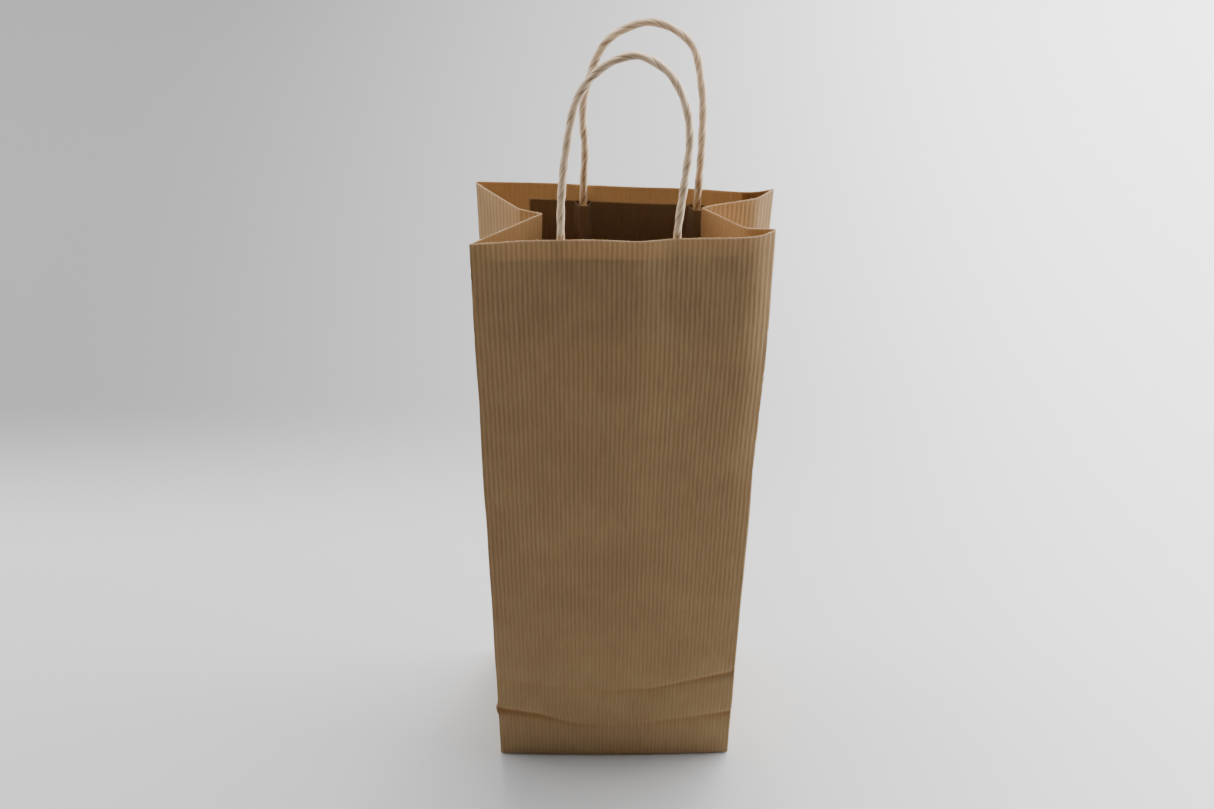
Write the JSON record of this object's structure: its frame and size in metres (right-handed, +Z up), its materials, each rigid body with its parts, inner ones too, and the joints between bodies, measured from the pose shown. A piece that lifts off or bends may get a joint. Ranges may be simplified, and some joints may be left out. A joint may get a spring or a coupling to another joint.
{
  "type": "wine gift bag",
  "caption": "Tall narrow brown paper bag with folded side gussets, a flat folded bottom and twisted paper cord handles, standing open.",
  "frame": {"origin": "middle of the flat underside, where the bag stands", "axes": "+X to the viewer's right along the front panel, +Y from the front panel to the back panel, +Z up to the handles"},
  "size_m": [0.1426, 0.0811, 0.4819],
  "materials": {
    "kraft_ribbed": "matt ribbed brown kraft paper with fine vertical lines, pale at the cut rim",
    "kraft_inside": "matt inner face of the same kraft paper",
    "kraft_patch": "smooth matt kraft paper, glued in two layers",
    "twisted_paper": "matt tightly twisted kraft paper cord"
  },
  "bodies": {
    "root": {"bottom_flap_front": "kraft_ribbed", "bottom_flap_back": "kraft_ribbed", "bottom_tuck_left": "kraft_inside", "bottom_tuck_right": "kraft_inside", "left_gusset_front": "kraft_ribbed", "left_gusset_rear": "kraft_ribbed", "right_gusset_front": "kraft_ribbed", "right_gusset_rear": "kraft_ribbed"},
    "front_wall": {"front_panel": "kraft_ribbed", "front_patch_outer": "kraft_patch", "front_patch_inner": "kraft_patch", "front_cord_leg_left": "twisted_paper", "front_cord_leg_right": "twisted_paper"},
    "back_wall": {"back_panel": "kraft_ribbed", "seam_flap": "kraft_ribbed", "back_patch_outer": "kraft_patch", "back_patch_inner": "kraft_patch", "back_cord_leg_left": "twisted_paper", "back_cord_leg_right": "twisted_paper"},
    "front_handle": {"front_cord_loop": "twisted_paper"},
    "back_handle": {"back_cord_loop": "twisted_paper"}
  },
  "joints": [
    {"name": "front_wall_fold", "type": "hinge", "parent": "root", "child": "front_wall", "pos_m": [0, -0.04, 0], "axis": [1, 0, 0], "range_deg": [-1.2, 1.6], "deforming": ["left_gusset_front", "right_gusset_front"]},
    {"name": "back_wall_fold", "type": "hinge", "parent": "root", "child": "back_wall", "pos_m": [0, 0.04, 0], "axis": [1, 0, 0], "range_deg": [-2.2, 0.6], "deforming": ["left_gusset_rear", "right_gusset_rear"]},
    {"name": "front_handle_bend", "type": "hinge", "parent": "front_wall", "child": "front_handle", "pos_m": [-0.001, -0.02325, 0.3925], "axis": [0.9999, 0.0169, 0], "range_deg": [-2, 90]},
    {"name": "back_handle_bend", "type": "hinge", "parent": "back_wall", "child": "back_handle", "pos_m": [0.0096, 0.0112, 0.3925], "axis": [0.998, -0.0631, 0], "range_deg": [-90, 2]}
  ]
}
